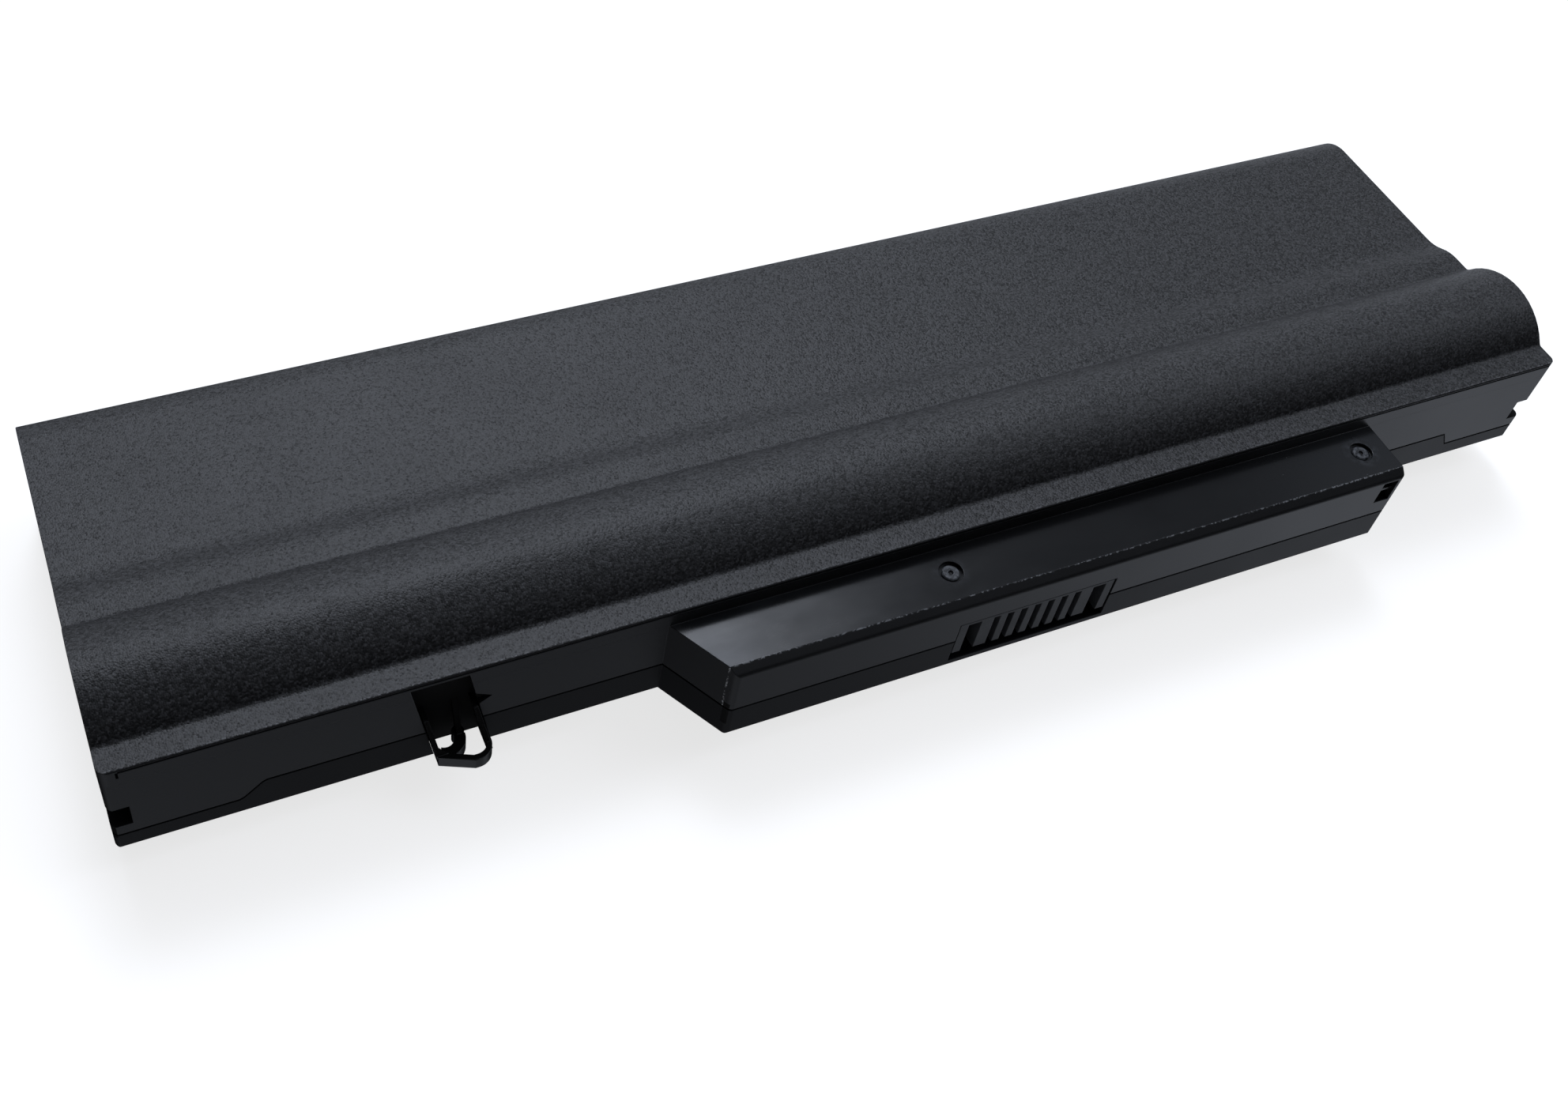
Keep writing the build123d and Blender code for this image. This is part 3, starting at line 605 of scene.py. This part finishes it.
class DressContacts(bpy.types.Operator):
    """Plated contacts with rubbed faces"""

    bl_idname = "battery.dress_contacts"
    bl_label = "Contacts"

    def execute(self, context):
        finish = Finish("contact")
        streaks = finish.noise(0.3 * MM, detail=3.0, place=finish.stretched((3.0, 0.2, 3.0)))
        colour = finish.tones(streaks, 0.35, 0.7, (0.75, 0.52, 0.2), (0.86, 0.68, 0.36))
        rough = 0.22 + 0.2 * streaks
        normal = finish.bump(streaks, 0.003 * MM)
        dress(finish.end(Base_Color=colour, Roughness=rough, Normal=normal, Metallic=1.0), "contacts")
        return {"FINISHED"}


class DressCells(bpy.types.Operator):
    """Shrink sleeves on the cells, bare steel at both ends"""

    bl_idname = "battery.dress_cells"
    bl_label = "Cells"

    def execute(self, context):
        look = context.scene.battery_inside
        finish = Finish("cell")
        steel = finish.step(abs(finish.facing()[0]), 0.8, 0.95)
        wrinkles = finish.noise(1.5 * MM, detail=3.0, place=finish.stretched((0.12, 1.0, 1.0)))
        cloud = finish.noise(9 * MM, detail=3.0)
        sleeve = finish.tones(
            cloud, 0.3, 0.7, shade(look.sleeve_colour, 0.85), shade(look.sleeve_colour, 1.15)
        )
        colour = finish.mix(steel, sleeve, STEEL)
        rough = 0.28 + 0.12 * wrinkles
        normal = finish.bump(wrinkles, 0.02 * MM)
        material = finish.end(Base_Color=colour, Roughness=rough, Normal=normal, Metallic=steel)
        dress(material, *[f"cell_{i}" for i in range(1, CELLS + 1)])
        return {"FINISHED"}


class DressWashers(bpy.types.Operator):
    """Fibrous paper washers"""

    bl_idname = "battery.dress_washers"
    bl_label = "Washers"

    def execute(self, context):
        finish = Finish("washer")
        fibres = finish.noise(0.5 * MM, detail=5.0, rough=0.7)
        colour = finish.tones(fibres, 0.3, 0.7, (0.62, 0.6, 0.52), (0.8, 0.78, 0.7))
        normal = finish.bump(fibres, 0.02 * MM)
        material = finish.end(Base_Color=colour, Roughness=0.8 + 0.1 * fibres, Normal=normal)
        dress(material, "washers_1", "washers_2", "washers_3")
        return {"FINISHED"}


class DressStrips(bpy.types.Operator):
    """Rolled nickel strips"""

    bl_idname = "battery.dress_strips"
    bl_label = "Strips"

    def execute(self, context):
        finish = Finish("nickel")
        streaks = finish.noise(0.6 * MM, detail=4.0, place=finish.stretched((1.0, 0.08, 1.0)))
        stains = finish.noise(5 * MM, detail=3.0)
        colour = finish.tones(stains, 0.35, 0.75, (0.6, 0.58, 0.54), (0.46, 0.44, 0.4))
        rough = 0.26 + 0.2 * streaks
        normal = finish.bump(streaks, 0.006 * MM)
        material = finish.end(Base_Color=colour, Roughness=rough, Normal=normal, Metallic=1.0)
        dress(material, *[f"strip_{i}" for i in range(1, STRIPS + 1)])
        return {"FINISHED"}


class DressLeads(bpy.types.Operator):
    """Insulated leads in black, white and red"""

    bl_idname = "battery.dress_leads"
    bl_label = "Leads"

    def execute(self, context):
        colours = {
            "lead_black": ((0.012, 0.012, 0.012), ("lead_1",)),
            "lead_white": ((0.62, 0.61, 0.57), ("lead_2", "lead_3")),
            "lead_red": ((0.36, 0.02, 0.015), ("lead_4",)),
        }
        for slot, (colour, names) in colours.items():
            finish = Finish(slot)
            smears = finish.noise(2.5 * MM, detail=4.0)
            skin = finish.tones(smears, 0.35, 0.7, colour, shade(colour, 0.7))
            normal = finish.bump(smears, 0.01 * MM)
            dress(finish.end(Base_Color=skin, Roughness=0.35 + 0.2 * smears, Normal=normal), *names)
        return {"FINISHED"}


class DressBoard(bpy.types.Operator):
    """Green board with faint tracks under the mask and a tan laminate edge"""

    bl_idname = "battery.dress_board"
    bl_label = "Board"

    def execute(self, context):
        look = context.scene.battery_inside
        finish = Finish("board")
        flat = finish.step(abs(finish.facing()[2]), 0.5, 0.8)
        tiles = {
            "Vector": finish.place,
            "Scale": 1 / (2.2 * MM),
            "Mortar Size": 0.12,
            "Brick Width": 1.7,
            "Row Height": 0.4,
        }
        tracks = finish.node("ShaderNodeTexBrick", None, tiles, output="Fac")
        cloud = finish.noise(4 * MM, detail=3.0)
        mask = finish.mix(tracks, shade(look.board_colour, 1.6), tuple(look.board_colour))
        colour = finish.mix(flat, LAMINATE, mask)
        normal = finish.bump(tracks, 0.02 * MM)
        dress(finish.end(Base_Color=colour, Roughness=0.25 + 0.15 * cloud, Normal=normal), "board")
        return {"FINISHED"}


class DressChips(bpy.types.Operator):
    """Moulded and ceramic component bodies with tinned ends"""

    bl_idname = "battery.dress_chips"
    bl_label = "Components"

    def execute(self, context):
        moulded = Finish("chip")
        grit = moulded.noise(0.15 * MM, detail=3.0)
        colour = moulded.tones(grit, 0.35, 0.7, (0.012, 0.012, 0.013), (0.03, 0.03, 0.031))
        normal = moulded.bump(grit, 0.008 * MM)
        material = moulded.end(Base_Color=colour, Roughness=0.5 + 0.15 * grit, Normal=normal)
        dress(material, "gauge_chip", "switch_1", "switch_2")
        self.capped("fuse", (0.62, 0.58, 0.48), cap=0.9 * MM, axis=0)
        self.capped("sense_resistor", (0.05, 0.05, 0.055), cap=1.1 * MM, axis=0)
        self.capped("capacitors", (0.36, 0.22, 0.1), cap=0.4 * MM, axis=1)
        return {"FINISHED"}

    def capped(self, name, colour, cap, axis):
        """Ceramic body whose two ends along an axis are tinned."""
        low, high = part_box(name)
        finish = Finish(name)
        along = finish.split(finish.place)[axis]
        half = (high[axis] - low[axis]) / 2
        tinned = finish.step(abs(along - (low[axis] + half)), half - cap, half - cap + 0.05 * MM)
        grit = finish.noise(0.2 * MM, detail=3.0)
        body = finish.tones(grit, 0.3, 0.7, colour, shade(colour, 0.75))
        shell = finish.mix(tinned, body, TIN)
        normal = finish.bump(grit, 0.006 * MM)
        dress(finish.end(Base_Color=shell, Roughness=0.4 + 0.15 * grit, Metallic=tinned, Normal=normal), name)


class DressPads(bpy.types.Operator):
    """Open-celled foam pads"""

    bl_idname = "battery.dress_pads"
    bl_label = "End pads"

    def execute(self, context):
        look = context.scene.battery_inside
        finish = Finish("foam")
        bubbles = finish.pebbles(0.7 * MM)
        cloud = finish.noise(6 * MM, detail=3.0)
        # Painted shade: the foam is darker in the sunken edges between its bubbles.
        colour = finish.tones(bubbles, 0.1, 0.6, tuple(look.foam_colour), shade(look.foam_colour, 0.4))
        normal = finish.bump(1 - bubbles, 0.2 * MM)
        material = finish.end(Base_Color=colour, Roughness=0.85 + 0.1 * cloud, Normal=normal)
        dress(material, "end_pad_left", "end_pad_right")
        return {"FINISHED"}


class SetStage(bpy.types.Operator):
    """Pale floor, soft lights and the camera at the photo's angle"""

    bl_idname = "battery.set_stage"
    bl_label = "Stage"

    def execute(self, context):
        look = context.scene.battery_stage
        self.add_camera(context, look)
        self.add_floor(look)
        self.add_lights(context, look)
        context.scene.view_settings.view_transform = "Standard"
        return {"FINISHED"}

    def add_camera(self, context, look):
        """Camera with the photo's lens and its shift."""
        bpy.ops.object.camera_add(location=look.camera_place, rotation=look.camera_turn)
        camera = context.object
        lens = camera.data
        lens.sensor_width = SENSOR_WIDTH
        lens.lens = look.focal_px / IMAGE_SIZE[0] * SENSOR_WIDTH
        lens.shift_x = (IMAGE_SIZE[0] / 2 - look.axis_px[0]) / IMAGE_SIZE[0]
        lens.shift_y = (look.axis_px[1] - IMAGE_SIZE[1] / 2) / IMAGE_SIZE[0]
        lens.clip_start = LENS_CLIP
        context.scene.camera = camera

    def add_floor(self, look):
        """Round pale floor under the part."""
        bpy.ops.object.select_all(action="DESELECT")
        bpy.ops.mesh.primitive_circle_add(vertices=FLOOR_SIDES, radius=FLOOR_RADIUS, fill_type="NGON")
        floor = bpy.context.object
        floor.name = "floor"
        finish = Finish("floor")
        cloud = finish.noise(0.2, detail=2.0)
        colour = finish.mix(cloud, tuple(look.floor_colour), shade(look.floor_colour, 0.99))
        material = finish.end(
            Base_Color=colour,
            Roughness=0.9,
            Emission_Color=WHITE,
            Emission_Strength=look.floor_glow,
        )
        floor.data.materials.append(material)
        floor.visible_glossy = False

    def add_lights(self, context, look):
        """World of soft lights, each brightest along its own way."""
        world = bpy.data.worlds.new("studio")
        world.use_nodes = True
        context.scene.world = world
        bench = NodeBench(world.node_tree, "Generated")
        glow = look.room
        for way, focus, strength in SOFT_LIGHTS:
            toward = bench.node(
                "ShaderNodeVectorMath", {"operation": "DOT_PRODUCT"}, [bench.place, way], output="Value"
            )
            glow = glow + bench.larger(toward, 0.0) ** focus * strength
        background = world.node_tree.nodes["Background"]
        background.inputs["Color"].default_value = (*LIGHT_TINT, 1.0)
        bench.feed(background.inputs["Strength"], glow)


class BatteryPanel(bpy.types.Panel):
    """Lists the battery's looks"""

    bl_idname = "VIEW3D_PT_battery"
    bl_label = "Battery"
    bl_space_type = "VIEW_3D"
    bl_region_type = "UI"
    bl_category = "Battery"

    def draw(self, context):
        for operator in OPERATORS:
            self.layout.operator(operator.bl_idname)


OPERATORS = (
    DressCaseTop,
    DressCaseBase,
    DressPlug,
    DressContacts,
    DressCells,
    DressWashers,
    DressStrips,
    DressLeads,
    DressBoard,
    DressChips,
    DressPads,
    SetStage,
)
LOOKS = {"battery_case": CaseLook, "battery_inside": InsideLook, "battery_stage": StageLook}
CLASSES = (*LOOKS.values(), *OPERATORS, BatteryPanel)


def register():
    for kind in CLASSES:
        bpy.utils.register_class(kind)
    for name, kind in LOOKS.items():
        setattr(bpy.types.Scene, name, bpy.props.PointerProperty(type=kind))


def unregister():
    for name in LOOKS:
        delattr(bpy.types.Scene, name)
    for kind in reversed(CLASSES):
        bpy.utils.unregister_class(kind)


def main():
    register()
    bpy.ops.battery.dress_case_top()
    bpy.ops.battery.dress_case_base()
    bpy.ops.battery.dress_plug()
    bpy.ops.battery.dress_contacts()
    bpy.ops.battery.dress_cells()
    bpy.ops.battery.dress_washers()
    bpy.ops.battery.dress_strips()
    bpy.ops.battery.dress_leads()
    bpy.ops.battery.dress_board()
    bpy.ops.battery.dress_chips()
    bpy.ops.battery.dress_pads()
    bpy.ops.battery.set_stage()


if __name__ == "__main__":
    main()
